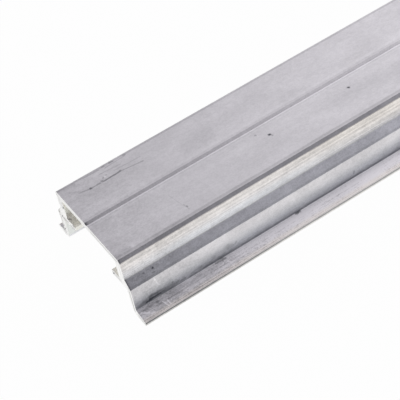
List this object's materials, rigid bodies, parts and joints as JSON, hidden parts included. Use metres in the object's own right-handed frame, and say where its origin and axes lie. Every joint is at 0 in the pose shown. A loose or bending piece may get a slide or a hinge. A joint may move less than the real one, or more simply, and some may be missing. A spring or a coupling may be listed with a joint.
{
  "type": "din rail",
  "caption": "Extruded aluminium top-hat mounting rail, 35 by 15 mm section, with an inner nut channel between two tongues, sawn to length.",
  "frame": {"origin": "middle of the rail's length and width, on the plane of the flanges' underside", "axes": "+X along the rail, +Y across it, +Z from the flanges' underside to the back"},
  "size_m": [1, 0.035, 0.015],
  "materials": {
    "mill_aluminium": "mill finish, as extruded, with fine lengthwise die lines and light scuffs"
  },
  "bodies": {
    "root": {"rail": "mill_aluminium"}
  },
  "joints": []
}
